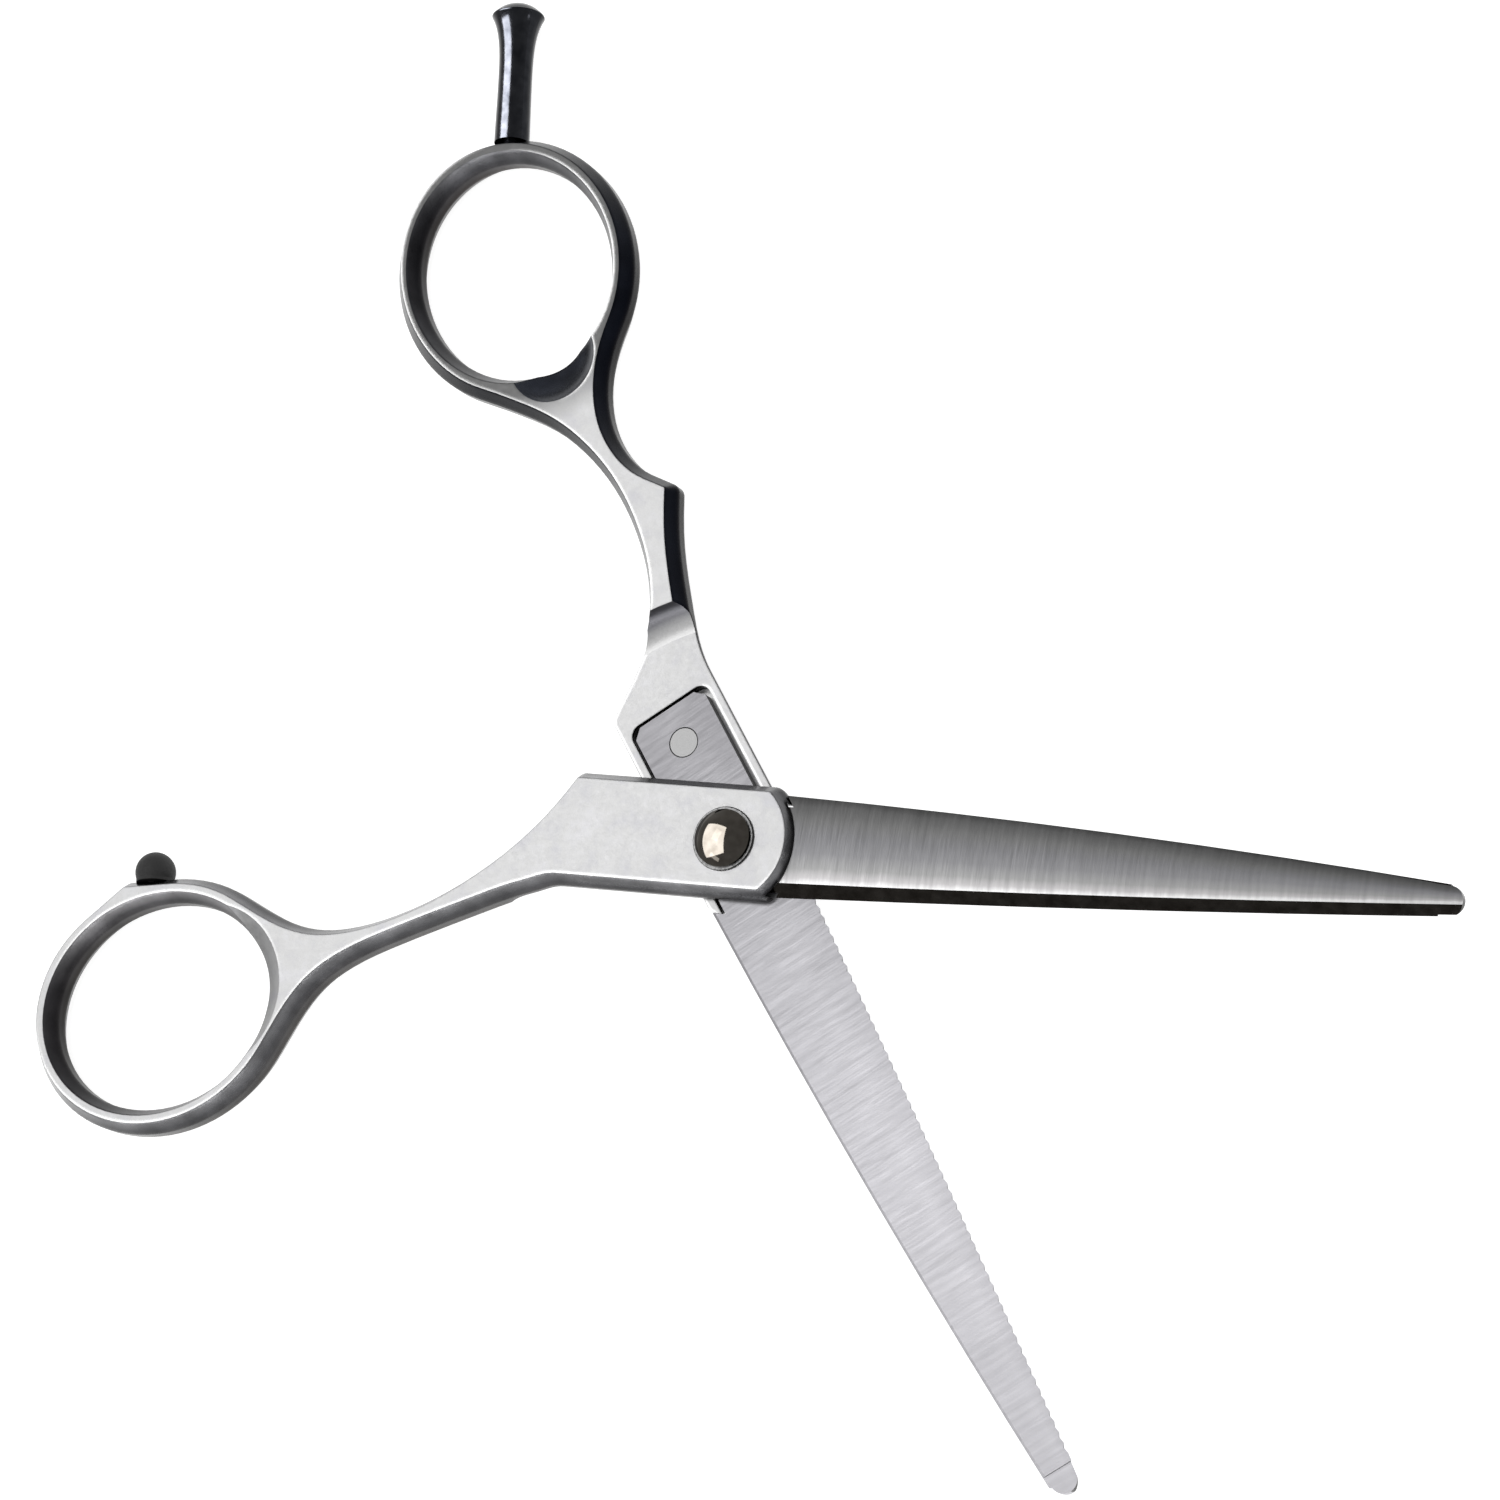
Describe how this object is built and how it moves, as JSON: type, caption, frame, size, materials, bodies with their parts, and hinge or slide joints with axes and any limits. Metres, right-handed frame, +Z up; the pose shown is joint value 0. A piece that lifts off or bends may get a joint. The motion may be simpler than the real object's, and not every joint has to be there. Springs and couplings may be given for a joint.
{
  "type": "thinning shears",
  "caption": "Hair shears with cast ring handles, inlaid steel blades, fine serration on the lower blade, domed pivot screw, finger rest and rubber bumper.",
  "frame": {"origin": "on the pivot axis, level with the flat outer face of the finger half that the shears rest on", "axes": "+X runs from the pivot to the thumb half's blade tip, +Z points up out of the thumb half's outer face along the pivot axis, and +Y completes the right-handed frame, towards the finger ring"},
  "size_m": [0.1573, 0.1532, 0.0067],
  "materials": {
    "handle_metal": "satin ground faces, polished dark walls",
    "blade_steel": "cross ground",
    "rivet_steel": "ground flush",
    "screw_chrome": "mirror polished",
    "washer_dark": "satin black",
    "nut_steel": "turned",
    "spring_steel": "plain",
    "rest_chrome": "dark polished",
    "bumper_rubber": "matte"
  },
  "bodies": {
    "thumb_half": {"thumb_handle": "handle_metal", "thumb_blade": "blade_steel", "thumb_blade_rivet": "rivet_steel", "pivot_screw": "screw_chrome", "head_washer": "washer_dark", "bumper": "bumper_rubber"},
    "finger_half": {"finger_handle": "handle_metal", "finger_blade": "blade_steel", "finger_blade_rivet": "rivet_steel", "finger_rest": "rest_chrome", "spring_washer": "spring_steel"},
    "pivot_nut": {"tension_nut": "nut_steel"}
  },
  "joints": [
    {"name": "pivot", "type": "hinge", "parent": "thumb_half", "child": "finger_half", "pos_m": [0, 0, 0.0025], "axis": [0, 0, 1], "range_deg": [-92, 52.5]},
    {"name": "tension_adjust", "type": "hinge", "parent": "thumb_half", "child": "pivot_nut", "pos_m": [0, 0, 0], "axis": [0, 0, 1], "range_deg": [-45, 45]}
  ]
}
